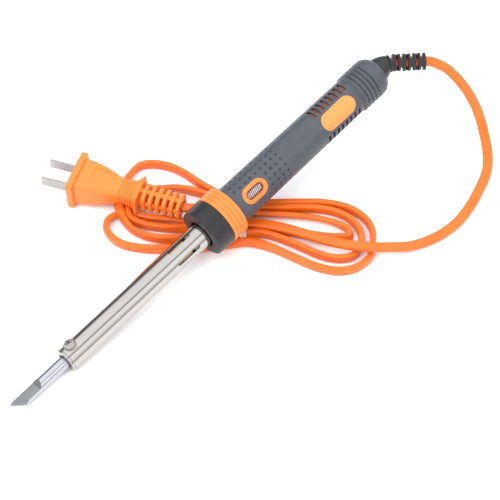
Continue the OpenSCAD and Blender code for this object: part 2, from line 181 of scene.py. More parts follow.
def make_world():
    """Bright and dark panels that run along the iron, which give polished metal its long streaks."""
    world = bpy.data.worlds.new("studio")
    world.use_nodes = True
    nodes, links = world.node_tree.nodes, world.node_tree.links
    place = nodes.new("ShaderNodeTexCoord")
    turned = nodes.new("ShaderNodeMapping")
    turned.inputs["Rotation"].default_value = IRON.to_3x3().normalized().inverted().to_euler()
    split = nodes.new("ShaderNodeSeparateXYZ")
    around = nodes.new("ShaderNodeMath")
    around.operation = "ARCTAN2"
    flip = nodes.new("ShaderNodeMath")
    flip.operation = "MULTIPLY"
    flip.inputs[1].default_value = -1
    share = nodes.new("ShaderNodeMapRange")
    share.inputs["From Min"].default_value = -math.pi
    share.inputs["From Max"].default_value = math.pi
    ramp = nodes.new("ShaderNodeValToRGB")
    elements = ramp.color_ramp.elements
    while len(elements) < len(BANDS):
        elements.new(0.5)
    for element, (angle, level) in zip(elements, BANDS):
        element.position = (angle + 180) / 360
        element.color = (level, level, level * 1.01, 1)
    links.new(place.outputs["Generated"], turned.inputs[0])
    links.new(turned.outputs[0], split.inputs[0])
    links.new(split.outputs["Y"], flip.inputs[0])
    links.new(flip.outputs[0], around.inputs[0])
    links.new(split.outputs["Z"], around.inputs[1])
    links.new(around.outputs[0], share.inputs[0])
    links.new(share.outputs[0], ramp.inputs[0])
    links.new(ramp.outputs[0], nodes["Background"].inputs["Color"])
    nodes["Background"].inputs["Strength"].default_value = 1.85
    bpy.context.scene.world = world


def make_light():
    make_world()
    softbox("key", -100, 58, 1.3, 0.9, 0.9, 10)
    softbox("fill", 40, 42, 1.5, 1.0, 0.8, 5)
    softbox("back", 150, 35, 1.4, 1.2, 0.5, 4)
    bpy.context.scene.view_settings.view_transform = "Standard"


# ---------------------------------------------------------------- meshes
def linked(name, mesh):
    obj = bpy.data.objects.new(name, mesh)
    bpy.context.scene.collection.objects.link(obj)
    return obj


def made(name, shape, placing, sharp=35):
    """A closed object from (vertices, faces) in millimetres, normals outwards and hard edges kept."""
    vertices, faces = shape
    mesh = bpy.data.meshes.new(name)
    mesh.from_pydata([placing @ Vector(v) for v in vertices], [], faces)
    return shaded(linked(name, mesh), sharp)


def shaded(obj, sharp=35):
    work = bmesh.new()
    work.from_mesh(obj.data)
    bmesh.ops.remove_doubles(work, verts=work.verts, dist=1e-7)
    bmesh.ops.recalc_face_normals(work, faces=work.faces)
    work.to_mesh(obj.data)
    work.free()
    obj.data.shade_smooth()
    obj.data.set_sharp_from_angle(angle=math.radians(sharp))
    return obj


def joined(shapes):
    """Several (vertices, faces) as one."""
    vertices, faces = [], []
    for more_vertices, more_faces in shapes:
        start = len(vertices)
        vertices += list(more_vertices)
        faces += [[start + i for i in face] for face in more_faces]
    return vertices, faces


def moved(shape, matrix):
    return [matrix @ Vector(v) for v in shape[0]], shape[1]


def rounded(corners, steps=4):
    """A closed outline from (x, r, fillet) corners."""
    outline = []
    for i, (x, r, *fillet) in enumerate(corners):
        here = np.array((x, r), float)
        if not fillet:
            outline.append(tuple(here))
            continue
        before = np.array(corners[i - 1][:2], float) - here
        after = np.array(corners[(i + 1) % len(corners)][:2], float) - here
        cut = min(fillet[0], 0.49 * np.linalg.norm(before), 0.49 * np.linalg.norm(after))
        start = here + before / np.linalg.norm(before) * cut
        end = here + after / np.linalg.norm(after) * cut
        for t in np.linspace(0, 1, steps + 1):
            outline.append(tuple(start * (1 - t) ** 2 + here * 2 * t * (1 - t) + end * t * t))
    return outline


def bridged(rings, closed=False, capped=True):
    """Faces between rings of equal count. Ends are capped, or the last ring joins the first."""
    count = len(rings[0])
    vertices = [v for ring in rings for v in ring]
    faces = []
    for i in range(len(rings) if closed else len(rings) - 1):
        a, b = i * count, (i + 1) % len(rings) * count
        for k in range(count):
            n = (k + 1) % count
            faces.append([a + k, a + n, b + n, b + k])
    if capped and not closed:
        faces.append(list(range(count))[::-1])
        faces.append([(len(rings) - 1) * count + k for k in range(count)])
    return vertices, faces


def lathe(outline, sides=128):
    """A closed outline of (station, radius) turned about the X axis."""
    rings = []
    for x, r in outline:
        turns = np.arange(sides) * 2 * math.pi / sides
        rings.append([(x, -r * math.sin(a), r * math.cos(a)) for a in turns])
    return bridged(rings, closed=True)


def prism(outline, low, high):
    """A polygon of (x, y) pulled from z low to z high."""
    return bridged([[(x, y, low) for x, y in outline], [(x, y, high) for x, y in outline]])


def stadium(length, width, inset=0.0, steps=10):
    """A slot outline with round ends, long along X."""
    radius = width / 2 - inset
    run = (length - width) / 2
    points = []
    for side, start in ((1, -90), (-1, 90)):
        for k in range(steps + 1):
            a = math.radians(start + 180 * k / steps)
            points.append((side * run + radius * math.cos(a), radius * math.sin(a)))
    return points


def cut(obj, shape, placing):
    """Takes a closed shape out of an object."""
    tool = made("cutter", shape, placing)
    modifier = obj.modifiers.new("cut", "BOOLEAN")
    modifier.operation = "DIFFERENCE"
    modifier.solver = "MANIFOLD"
    modifier.object = tool
    result = bpy.data.meshes.new_from_object(obj.evaluated_get(bpy.context.evaluated_depsgraph_get()))
    obj.modifiers.clear()
    old = obj.data
    obj.data = result
    bpy.data.meshes.remove(old)
    bpy.data.objects.remove(tool)
    return obj


def softened(obj, width, sharp=35, segments=2):
    """Rounds the hard edges by width millimetres and keeps the flats flat."""
    modifier = obj.modifiers.new("soft edges", "BEVEL")
    modifier.width = width * MM
    modifier.segments = segments
    modifier.limit_method = "ANGLE"
    modifier.angle_limit = math.radians(sharp)
    modifier.use_clamp_overlap = True
    obj.modifiers.new("flat faces", "WEIGHTED_NORMAL").keep_sharp = False
    obj.data.shade_smooth()
    result = bpy.data.meshes.new_from_object(obj.evaluated_get(bpy.context.evaluated_depsgraph_get()))
    obj.modifiers.clear()
    obj.data = result
    return obj


def painted(obj, *materials):
    obj.data.materials.clear()
    for material in materials:
        obj.data.materials.append(material)
    return obj


def piece(obj, body, slot, *nodes):
    """Puts a piece in the frame under its body and hides the CAD nodes that it stands for; its material slot is not
    used.
    """
    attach(obj, body)
    if nodes:
        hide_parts(*nodes)
    return obj


# ---------------------------------------------------------------- materials
class Paint:
    """A Principled material with noise in its colour, roughness and bump at the real surface's scale."""

    def __init__(self, name, colour, roughness, **sockets):
        self.material = bpy.data.materials.new(name)
        self.material.use_nodes = True
        self.nodes = self.material.node_tree.nodes
        self.links = self.material.node_tree.links
        self.shader = self.nodes["Principled BSDF"]
        self.colour = colour
        self.roughness = roughness
        self.shader.inputs["Base Color"].default_value = (*colour, 1)
        self.shader.inputs["Roughness"].default_value = roughness
        for socket, value in sockets.items():
            self.shader.inputs[socket.replace("_", " ")].default_value = value
        self.place = self.nodes.new("ShaderNodeTexCoord").outputs["Object"]
        self.height = None

    def stretched(self, matrix, scales):
        """Coordinates along a frame's own axes, scaled on each, so that grain can run one way."""
        mapping = self.nodes.new("ShaderNodeMapping")
        turn = matrix.to_3x3().normalized().inverted().to_euler()
        turned = self.nodes.new("ShaderNodeMapping")
        turned.inputs["Rotation"].default_value = turn
        mapping.inputs["Scale"].default_value = scales
        self.links.new(self.place, turned.inputs[0])
        self.links.new(turned.outputs[0], mapping.inputs[0])
        return mapping.outputs[0]

    def noise(self, size, detail=3, at=None, roughness=0.5):
        """Noise with features of that size in millimetres, from 0 to 1."""
        texture = self.nodes.new("ShaderNodeTexNoise")
        texture.inputs["Scale"].default_value = 1 / (size * MM)
        texture.inputs["Detail"].default_value = detail
        texture.inputs["Roughness"].default_value = roughness
        self.links.new(at or self.place, texture.inputs["Vector"])
        return texture.outputs["Fac"]

    def ranged(self, value, low, high, narrow=0.25):
        span_node = self.nodes.new("ShaderNodeMapRange")
        span_node.inputs["From Min"].default_value = narrow
        span_node.inputs["From Max"].default_value = 1 - narrow
        span_node.inputs["To Min"].default_value = low
        span_node.inputs["To Max"].default_value = high
        self.links.new(value, span_node.inputs["Value"])
        return span_node.outputs["Result"]

    def mottled(self, size, other, share=1.0, at=None):
        """Drifts between the base colour and another one."""
        mix = self.nodes.new("ShaderNodeMix")
        mix.data_type = "RGBA"
        mix.inputs["A"].default_value = (*self.colour, 1)
        mix.inputs["B"].default_value = (*other, 1)
        self.links.new(self.ranged(self.noise(size, at=at), 0, share), mix.inputs["Factor"])
        self.links.new(mix.outputs["Result"], self.shader.inputs["Base Color"])
        return self

    def worn(self, size, spread, at=None):
        """Lets the roughness drift."""
        low, high = self.roughness - spread, self.roughness + spread
        self.links.new(self.ranged(self.noise(size, at=at), low, high), self.shader.inputs["Roughness"])
        return self

    def bumpy(self, size, depth, at=None, detail=3):
        """Adds relief of that depth in millimetres."""
        bump = self.nodes.new("ShaderNodeBump")
        bump.inputs["Strength"].default_value = 1
        bump.inputs["Distance"].default_value = depth * MM
        self.links.new(self.noise(size, detail, at=at), bump.inputs["Height"])
        if self.height is not None:
            self.links.new(self.height, bump.inputs["Normal"])
        self.height = bump.outputs["Normal"]
        self.links.new(self.height, self.shader.inputs["Normal"])
        return self


def make_materials():
    blade_frame = facing(0, BLADE_ROLL)
    paints = {}

    def add(name, paint):
        paints[name] = paint.material
        return paint

    rod = add("tip_rod", Paint("tip_rod", (0.50, 0.51, 0.55), 0.13, Metallic=1.0))
    rod.worn(3, 0.05).mottled(6, (0.43, 0.44, 0.48), 0.5)
    grain = Paint("tip_ground", (0.42, 0.425, 0.435), 0.32, Metallic=1.0)
    across = grain.stretched(blade_frame, (1.0, 0.08, 1.0))
    grain.mottled(0.35, (0.24, 0.245, 0.26), 0.8, across).bumpy(0.3, 0.02, across)
    add("tip_ground", grain)
    # Painted shade: a darker copy of the tip steel for the blade's bevels, end face and side facets, standing in for
    # the shade on them.
    edge = Paint("tip_facets_painted_shade", (0.22, 0.225, 0.235), 0.3, Metallic=1.0)
    edge.bumpy(0.3, 0.015, edge.stretched(blade_frame, (1.0, 0.08, 1.0)))
    add("tip_facets_painted_shade", edge)
    barrel = Paint("barrel_nickel", (0.47, 0.45, 0.425), 0.11, Metallic=1.0)
    along = barrel.stretched(IRON, (0.04, 1.0, 1.0))
    barrel.worn(1.5, 0.04, along).mottled(9, (0.39, 0.37, 0.35), 0.8, along).bumpy(0.5, 0.004, along)
    add("barrel_nickel", barrel)
    add("fastener", Paint("fastener", (0.42, 0.40, 0.37), 0.2, Metallic=1.0)).worn(0.8, 0.07).bumpy(0.4, 0.01)
    collar = add("collar_black", Paint("collar_black", (0.014, 0.014, 0.016), 0.38, Specular_IOR_Level=0.35))
    collar.worn(4, 0.05).bumpy(0.25, 0.02).mottled(8, (0.020, 0.019, 0.021))
    orange = add("orange_plastic", Paint("orange_plastic", (0.80, 0.205, 0.035), 0.36))
    orange.worn(3, 0.05).mottled(7, (0.76, 0.18, 0.028)).bumpy(0.35, 0.008)
    pad = add("pad_orange", Paint("pad_orange", (0.84, 0.25, 0.06), 0.45))
    pad.worn(2, 0.05).bumpy(0.2, 0.015)
    grip = add("grip_grey", Paint("grip_grey", (0.060, 0.068, 0.084), 0.42, Specular_IOR_Level=0.45))
    grip.worn(3, 0.05).mottled(6, (0.050, 0.057, 0.071)).bumpy(0.18, 0.018)
    add("relief_black", Paint("relief_black", (0.012, 0.012, 0.014), 0.42)).worn(2, 0.07).bumpy(0.2, 0.02)
    cord = add("cord_orange", Paint("cord_orange", (0.74, 0.135, 0.006), 0.34))
    cord.worn(6, 0.05).mottled(14, (0.66, 0.105, 0.004)).bumpy(0.5, 0.010)
    plug = add("plug_orange", Paint("plug_orange", (0.80, 0.185, 0.020), 0.38))
    plug.worn(4, 0.05).mottled(9, (0.77, 0.18, 0.026)).bumpy(0.3, 0.010)
    blade = add("blade_steel", Paint("blade_steel", (0.42, 0.41, 0.405), 0.26, Metallic=1.0))
    blade.worn(1.5, 0.08).mottled(3, (0.34, 0.33, 0.325), 0.7)
    blade.bumpy(0.4, 0.01, blade.stretched(PLUG, (0.06, 1.0, 1.0)))
    lens = add("lens_clear", Paint("lens_clear", (0.88, 0.85, 0.84), 0.12, Transmission_Weight=0.5, IOR=1.49))
    lens.worn(0.8, 0.04)
    # The lens body is dark reddish: the red of the lamp glass plus painted shade of the dim chamber behind the lens.
    add("lens_red_painted_shade", Paint("lens_red_painted_shade", (0.16, 0.06, 0.055), 0.15, Transmission_Weight=0.3)).worn(0.8, 0.04)
    # Painted shade: the barrel's bore and slot walls get dark metal so that the slots read dark.
    add("barrel_inside_painted_shade", Paint("barrel_inside_painted_shade", (0.16, 0.14, 0.13), 0.5, Metallic=1.0)).mottled(4, (0.08, 0.07, 0.07))
    strap = add("tie_clear", Paint("tie_clear", (0.93, 0.94, 0.96), 0.25, Transmission_Weight=0.6, IOR=1.5))
    strap.worn(2, 0.08)
    add("lamp_glass", Paint("lamp_glass", (0.95, 0.60, 0.45), 0.08, Transmission_Weight=0.6)).worn(1, 0.03)
    # Painted shade: the rear insulator seen through the slots is dark brown so that the slots read dark.
    add("ceramic_painted_shade", Paint("ceramic_painted_shade", (0.17, 0.14, 0.11), 0.7)).worn(1, 0.1).bumpy(0.4, 0.02)
    add("mica", Paint("mica", (0.52, 0.40, 0.22), 0.35)).mottled(4, (0.35, 0.26, 0.15)).bumpy(1.5, 0.02)
    dark = add("dark_metal", Paint("dark_metal", (0.32, 0.30, 0.27), 0.4, Metallic=1.0))
    dark.mottled(5, (0.20, 0.16, 0.14))
    add("glass_fibre", Paint("glass_fibre", (0.80, 0.79, 0.74), 0.8)).bumpy(0.5, 0.1)
    add("resistor", Paint("resistor", (0.55, 0.38, 0.20), 0.35)).mottled(1.5, (0.40, 0.25, 0.12))
    add("board", Paint("board", (0.03, 0.16, 0.07), 0.3)).mottled(2, (0.05, 0.22, 0.09))
    add("connector_blue", Paint("connector_blue", (0.05, 0.14, 0.42), 0.35)).worn(1, 0.05)
    add("clamp_grey", Paint("clamp_grey", (0.12, 0.12, 0.125), 0.5)).bumpy(0.3, 0.02)
    return paints


make_camera()

# ---------------------------------------------------------------- cord
# Route of the cord in millimetres: x, y, z and roll, where 0 is flat and 90 on edge. A point with x and y alone
# stands on its edge on the floor. The cord leaves the relief, sweeps out in a wide arc, and lies in long loops
# under the iron before it runs into the plug.
ON_EDGE = (2.8, 90)
CORD_ROUTE = [
    (164, -17, 34, 20), (168, -24, 31, 10), (170, -32, 26, 0), (170, -41, 20, 0), (168, -50, 13, 0),
    (163, -59, 7, 0), (156, -68, 3, 0), (147, -75, 2, 0), (135, -80, 2, 0), (122, -84, 2, 0),
    (108, -86, 2, 0), (93, -84, 2, 0), (80, -79, 3, 0), (70, -73, 6, 0), (62, -67, 8, 0), (55, -58, 8, 0),
    (49, -46, 6.5, 0), (45, -35, 5.5, 0), (39, -22, 5.5, 0), (31, -9, 5.2, 0), (22, 3, 3.5, 0),
    (13, 13.5, 2, 0), (4, 25, 2, 60), (-4.6, 35), (-8.5, 43.5, 2.5, 60), (-12, 49.5, 1.8, 20),
    (-18.5, 52, 2.4, 60), (-25, 49.5), (-28.3, 43), (-27.6, 34), (-21.5, 23.5), (-11, 12.7, 2.6, 70),
    (0, 3.5, 1.8, 0), (11, -4.5, 1.8, 10), (19.5, -11, 2.2, 40), (24, -19, 2.8, 80), (27.4, -28),
    (30.4, -39), (34.3, -51.7), (39.5, -60.8), (46.2, -66.2), (53.2, -68.1), (60.4, -67.3), (67, -62.5),
    (72, -58), (75, -52.5), (76.1, -46), (74.9, -37.8), (70.9, -29.6), (65, -22), (55.5, -13),
    (46.6, -4.5), (38.5, 4.5), (33.4, 14), (31.6, 24.5), (30.4, 33.3), (29.5, 44.6), (27.1, 53.5),
    (22.8, 60.4), (18.1, 64.5), (13.1, 65.7, 2.8, 80), (6.1, 64.5, 2.5, 50), (-2, 60, 2, 20),
    (-9, 54.5, 2.5, 20), (-14, 48, 4.6, 60), (-16.3, 42.2), (-16.9, 35.3), (-13.6, 25.9),
    (-5.4, 15.8, 2.6, 70), (4, 8, 1.8, 10), (14, 0, 1.8, 0), (24, -8, 2.2, 40), (30.3, -15.5),
    (34.7, -25.5), (38, -36.5), (41.2, -47.5), (46, -56), (52.5, -60.6), (59.2, -59.5), (65.5, -55.5),
    (69.2, -49), (69.9, -41.2), (67.3, -32.6), (61.8, -24), (53, -13.5), (44.2, -4.5), (36.5, 4.5),
    (31, 15), (27.5, 25), (23.5, 33.5), (17.5, 42.5, 2.6, 70), (10, 49.5, 1.8, 20), (2, 53.5, 1.8, 10),
    (-5, 53, 2.4, 20), (-10.6, 49, 5, 60), (-12.9, 43, 3.2, 90), (-10, 33.9), (-3.6, 24.6),
    (3.5, 17.5, 2.4, 60), (13, 8, 1.8, 10), (23, -1.5, 1.8, 0), (33, -12, 1.8, 0), (41.5, -24, 1.8, 0),
    (48, -35, 1.8, 0), (55, -45, 2.2, 40), (60.5, -50.6, 2.8, 80), (64, -47.5), (63.4, -41.5, 2.8, 75),
    (60, -32.5, 2.6, 55), (54.5, -23.5, 2.6, 50), (46.5, -13.5, 2.6, 50), (38.5, -4.5, 2.8, 60),
    (31, 4.5, 4, 60), (23.5, 13, 6.5, 60),
]
CORD_STEP = 2.5
RELIEF_ROOT = 3.0
RELIEF_BEND_R = 14.0
RELIEF_BEND = 42
RELIEF_ROLL = 100
RELIEF_SLEEVE = 16.7


def relief_frame(distance):
    """Frame on the relief's centreline at a distance from its root, with +X along it."""
    bent = min(max(distance - RELIEF_ROOT, 0) / RELIEF_BEND_R, math.radians(RELIEF_BEND))
    straight = distance - bent * RELIEF_BEND_R
    root = min(straight, RELIEF_ROOT)
    beyond = straight - root
    start = facing(REAR_X + root, RELIEF_ROLL)
    aside = Matrix.Translation((RELIEF_BEND_R * math.sin(bent), 0, RELIEF_BEND_R * (1 - math.cos(bent))))
    return start @ aside @ Matrix.Rotation(-bent, 4, "Y") @ Matrix.Translation((beyond, 0, 0))


RELIEF_END = RELIEF_ROOT + RELIEF_BEND_R * math.radians(RELIEF_BEND) + RELIEF_SLEEVE
PLUG_RELIEF_X = 39.0
PLUG_RELIEF_END = 63.0


def smooth_curve(points, step):
    """Points at even steps along a smooth curve through points whose first three values are a place."""
    points = np.array(points, float)
    padded = np.vstack([2 * points[0] - points[1], points, 2 * points[-1] - points[-2]])
    fine = []
    for i in range(len(points) - 1):
        a, b, c, d = padded[i : i + 4]
        for t in np.linspace(0, 1, 16, endpoint=False):
            fine.append(
                0.5 * (2 * b + (c - a) * t + (2 * a - 5 * b + 4 * c - d) * t**2 + (3 * b - a - 3 * c + d) * t**3)
            )
    fine = np.array([*fine, points[-1]])
    lengths = np.concatenate([[0], np.cumsum(np.linalg.norm(np.diff(fine[:, :3], axis=0), axis=1))])
    even = np.linspace(0, lengths[-1], int(round(lengths[-1] / step)) + 1)
    return np.stack([np.interp(even, lengths, fine[:, k]) for k in range(fine.shape[1])], 1)


def cord_course():
    """The cord's course, ends in the reliefs, settled so that strands lie beside or on each other."""
    inside = [relief_frame(d).translation / MM for d in (6, 10, 14, 18, 22, 26, RELIEF_END)]
    route = [(*p, 10) for p in inside] + [p if len(p) == 4 else (*p, *ON_EDGE) for p in CORD_ROUTE]
    ending = (PLUG_RELIEF_END + 3, PLUG_RELIEF_END - 3, PLUG_RELIEF_X + 1)
    route += [(*((PLUG @ Vector((x, 0, 0))) / MM), 0) for x in ending]
    return settled(smooth_curve(route, CORD_STEP), len(inside))


def settled(course, held):
    """Pushes strands apart and off the floor, the iron and the plug, and keeps the course smooth."""
    place, roll = course[:, :3].copy(), np.radians(course[:, 3])
    target = place.copy()
    count = len(place)
    half_w, half_t = CORD_W / 2, CORD_T / 2
    level = np.hypot(half_w * np.cos(roll), half_t * np.sin(roll)) + 0.06
    tall = np.hypot(half_w * np.sin(roll), half_t * np.cos(roll)) + 0.06
    first, second = np.triu_indices(count, 5)
    free = np.ones(count)
    free[: 2 * held + 4] = 0
    free[-10:] = 0
    inverse = np.array(IRON.inverted())
    plug_inverse = np.array(PLUG.inverted())
    for _ in range(260):
        middle = (place[:-2] + place[2:]) / 2
        wanted = (target[:-2] + target[2:]) / 2 - target[1:-1]
        shift = np.zeros_like(place)
        shift[1:-1] = 0.35 * (middle - wanted - place[1:-1])
        shift[:, :2] += 0.03 * (target[:, :2] - place[:, :2])
        shift[:, 2] += 0.01 * (target[:, 2] - place[:, 2])
        place += shift * free[:, None]
        apart = place[second] - place[first]
        reach_level = level[first] + level[second]
        reach_tall = tall[first] + tall[second]
        sideways = np.hypot(apart[:, 0], apart[:, 1]) / reach_level
        upwards = apart[:, 2] / reach_tall
        near = np.hypot(sideways, upwards)
        hit = np.where(near < 1)[0]
        if len(hit):
            away = apart[hit] / np.stack([reach_level[hit]] * 2 + [reach_tall[hit]], 1)
            size = np.maximum(near[hit], 0.05)[:, None]
            push = away / size * (1 - size) * np.stack([reach_level[hit]] * 2 + [reach_tall[hit]], 1)
            move, weight = np.zeros_like(place), np.zeros(count)
            np.add.at(move, first[hit], -0.4 * push)
            np.add.at(move, second[hit], 0.4 * push)
            np.add.at(weight, first[hit], 1)
            np.add.at(weight, second[hit], 1)
            place += move / np.maximum(weight, 1)[:, None] * free[:, None]
        place = off_iron(place, tall, inverse, free)
        place = off_plug(place, tall, plug_inverse, free)
        place[:, 2] = np.maximum(place[:, 2], tall - 0.03)
    return place, roll


def off_iron(place, tall, inverse, free):
    """Keeps the cord below the collar, the ring and the grip."""
    local = (np.c_[place * MM, np.ones(len(place))] @ inverse.T)[:, :3]
    behind = np.where(local[:, 0] < GRIP_X, COLLAR_R, GRIP_FRONT_R)
    radius = np.where(local[:, 0] < COLLAR_X, BARREL_R, behind)
    reach = radius + tall + 0.1
    over = np.maximum(reach**2 - local[:, 1] ** 2, 0)
    top = -np.sqrt(over)
    low = (over > 0) & (local[:, 2] > top) & (local[:, 0] > 30) & (local[:, 0] < 270) & (free > 0)
    place[low, 2] -= (local[:, 2] - top)[low] * 0.6
    return place


def off_plug(place, tall, inverse, free):
    """Keeps the cord below the plug's neck, lip and relief."""
    local = (np.c_[place * MM, np.ones(len(place))] @ inverse.T)[:, :3]
    stations = [0, 4, 14, 26, 34, 37, 39, 39.1, 63]
    half_high = np.interp(local[:, 0], stations, [9.5, 8, 7.4, 5.5, 5.5, 7, 7, 6.2, 6.2])
    half_wide = np.interp(local[:, 0], stations, [13, 11, 9.6, 6.2, 6.4, 9.2, 9.2, 6.2, 6.2])
    inside = 1 - (local[:, 1] / (half_wide + 1.5)) ** 2
    top = -half_high * np.sqrt(np.maximum(inside, 0)) ** 0.5 - tall
    low = (inside > 0) & (local[:, 2] > top) & (local[:, 0] > 0) & (local[:, 0] < 63) & (free > 0)
    place[low, 2] -= (local[:, 2] - top)[low] * 0.6
    return place


def cord_section(half_w, half_t, count=36, power=3.6):
    turns = np.arange(count) * 2 * math.pi / count
    c, s = np.cos(turns), np.sin(turns)
    across = half_w * np.sign(c) * np.abs(c) ** (2 / power)
    return np.stack([across, half_t * np.sign(s) * np.abs(s) ** (2 / power)], 1)


def swept(place, roll, section):
    """A tube whose section stays level but for its roll."""
    ahead = np.gradient(place, axis=0)
    ahead /= np.linalg.norm(ahead, axis=1)[:, None]
    across = np.cross([0, 0, 1], ahead)
    across /= np.linalg.norm(across, axis=1)[:, None]
    above = np.cross(ahead, across)
    rings = []
    for p, a, u, r in zip(place, across, above, roll):
        side = a * math.cos(r) + u * math.sin(r)
        high = u * math.cos(r) - a * math.sin(r)
        rings.append([tuple(p + side * s[0] + high * s[1]) for s in section])
    return bridged(rings)


def smoothed(values, times):
    for _ in range(times):
        values = np.concatenate([values[:1], (values[:-2] + 2 * values[1:-1] + values[2:]) / 4, values[-1:]])
    return values


def make_cord(paint):
    place, roll = cord_course()
    place = smooth_curve(np.c_[place, smoothed(roll, 6)], 1.5)
    place, roll = place[:, :3], place[:, 3]
    shape = swept(place, roll, cord_section(CORD_W / 2, CORD_T / 2))
    tube = made("cord_flex", shape, Matrix.Scale(MM, 4), 60)
    painted(tube, paint)
    length = float(np.linalg.norm(np.diff(place, axis=0), axis=1).sum()) * MM
    return tube, place * MM, length


# ---------------------------------------------------------------- tip, barrel and screw
def make_tip(paints):
    frame_at = facing(0, BLADE_ROLL)
    tip_length = span("tip")[1]
    rod = [(-1, 0), (-1, TIP_R), (END_RING_X - 1.1, TIP_R), (END_RING_X - 1.0, TIP_R - 0.2)]
    rod += [(tip_length - 1, TIP_R - 0.2), (tip_length, TIP_R - 1), (tip_length, 0)]
    tip = made("tip_blade", turned_solid(rod, 96), frame_at)
    half, shoulder = BLADE_T / 2, TIP_R - BLADE_T / 2
    top = half + shoulder + 1.5
    flat = [(-2, half), (BLADE_LEN - shoulder, half), (BLADE_LEN + 1.5, top), (-2, top)]
    for side in (1, -1):
        cut(tip, prism(flat, -5, 5), frame_at @ Matrix.Rotation(math.radians(90 * side), 4, "X"))
    slant = math.tan(math.radians(BLADE_ANGLE))
    reach = TIP_R + 1
    end = [(-slant, reach), ((TIP_R + reach) * slant, -reach), (-3, -reach), (-3, reach)]
    cut(tip, prism(end, -6, 6), frame_at)
    rise = half - EDGE_LAND
    bevel = [(-EDGE_W, EDGE_LAND - rise), (2 * EDGE_W, EDGE_LAND + 2 * rise), (-EDGE_W, EDGE_LAND + 2 * rise)]
    along_edge = Matrix.Translation((0, TIP_R, 0)) @ Matrix.Rotation(math.radians(BLADE_ANGLE), 4, "Z")
    cut(tip, prism(bevel, -16, 16), frame_at @ along_edge @ Matrix.Rotation(math.radians(90), 4, "X"))
    softened(tip, 0.06, 20, 1)
    painted(tip, paints["tip_rod"], paints["tip_ground"], paints["tip_facets_painted_shade"])
    upright = (frame_at.to_3x3() @ Vector((0, 0, 1))).normalized()
    # The blade's flats get the ground finish; its other faces near the blade get the darker painted shade.
    for face in tip.data.polygons:
        out = face.normal.dot(upright)
        station = (face.center - frame_at.translation).dot(AXIS) / MM
        if station < BLADE_LEN and abs(out) > 0.99:
            face.material_index = 1
        elif station < BLADE_LEN:
            face.material_index = 2
    piece(tip, "tip", "tip_steel", "tip")


def turned_solid(outline, sides):
    """An outline whose first and last points are on the axis, turned into a solid."""
    inner = outline[1:-1]
    rings = []
    for x, r in inner:
        turns = np.arange(sides) * 2 * math.pi / sides
        rings.append([(x, -r * math.sin(a), r * math.cos(a)) for a in turns])
    return bridged(rings)


def make_end_ring(paints):
    profile = rounded(
        [
            (END_RING_X, TIP_R + 0.8, 0.15), (END_RING_X, BARREL_R, 0.55), (BARREL_X - 0.2, BARREL_R, 0.15),
            (BARREL_X - 0.2, BORE_R - 0.02), (BARREL_X + 10, BORE_R - 0.02), (BARREL_X + 10, TIP_R + 0.06),
            (END_RING_X + 1.6, TIP_R + 0.06), (END_RING_X + 1.2, TIP_R + 0.8, 0.2),
        ]
    )
    ring = made("barrel_end_ring", lathe(profile, 128), IRON, 30)
    cut_screw_hole(ring, 1.55)
    shaded(ring, 30)
    piece(painted(ring, paints["barrel_nickel"]), "iron", "barrel_steel", "end_ring")


def rod_shape(radius, start, end, sides=48):
    return turned_solid([(start, 0), (start, radius), (end, radius), (end, 0)], sides)


def cut_screw_hole(obj, radius):
    hole = moved(rod_shape(radius, 0, 10, 32), Matrix.Rotation(math.radians(-90), 4, "Y"))
    cut(obj, hole, facing(SCREW_X, BLADE_ROLL))


def make_barrel(paints):
    profile = rounded(
        [(BARREL_X, BORE_R), (BARREL_X, BARREL_R, 0.2), (BARREL_END, BARREL_R), (BARREL_END, BORE_R)], 3
    )
    barrel = made("barrel", lathe(profile, 256), IRON, 30)
    for angle in SLOT_ANGLES:
        cut(barrel, prism(stadium(16, 1.9, steps=8), 4, 9), facing(SLOT_X, angle))
    cut_screw_hole(barrel, 1.72)
    shaded(barrel, 30)
    painted(barrel, paints["barrel_nickel"], paints["barrel_inside_painted_shade"])
    # The bore and the walls of the slots get the dark painted shade.
    inside = IRON.inverted()
    for face in barrel.data.polygons:
        place = inside @ face.center
        if math.hypot(place.y, place.z) < BARREL_R - 0.1 and BARREL_X + 1 < place.x:
            face.material_index = 1
    piece(barrel, "iron", "barrel_steel", "barrel_tube")


def make_screw(paints):
    upright = facing(SCREW_X, BLADE_ROLL) @ Matrix.Rotation(math.radians(-90), 4, "Y")
    washer = rounded([(7.02, 1.56), (7.02, 3.65, 0.12), (7.5, 3.65, 0.15), (7.5, 1.56)], 3)
    ring = made("screw_spring_washer", lathe(washer, 96), upright, 30)
    piece(painted(ring, paints["fastener"]), "washer", "fastener_steel", "screw_washer")
    dome = [(7.52 + 2.1 * math.sin(a), 3.1 * math.cos(a) ** 0.55) for a in np.radians([20, 35, 50, 63, 74, 82])]
    profile = [(3.55, 0), (3.55, 1.3), (3.75, 1.45), (7.53, 1.45), (7.53, 2.95), (7.6, 3.05), (7.75, 3.1)]
    profile += [*dome, (7.52 + 2.1, 0)]
    screw = made("tip_screw_head", turned_solid(profile, 96), upright, 30)
    for turn in range(2):
        low = [(x, y, 8.35) for x, y in ((-0.9, -0.2), (0.9, -0.2), (0.9, 0.2), (-0.9, 0.2))]
        high = [(x, y, 10.0) for x, y in ((-1.95, -0.42), (1.95, -0.42), (1.95, 0.42), (-1.95, 0.42))]
        cross = bridged([low, high])
        spin = Matrix.Rotation(math.radians(30 + 90 * turn), 4, "Z")
        cut(screw, moved(cross, spin), facing(SCREW_X, BLADE_ROLL))
    softened(screw, 0.06, 40, 1)
    piece(painted(screw, paints["fastener"]), "screw", "fastener_steel", "tip_screw")


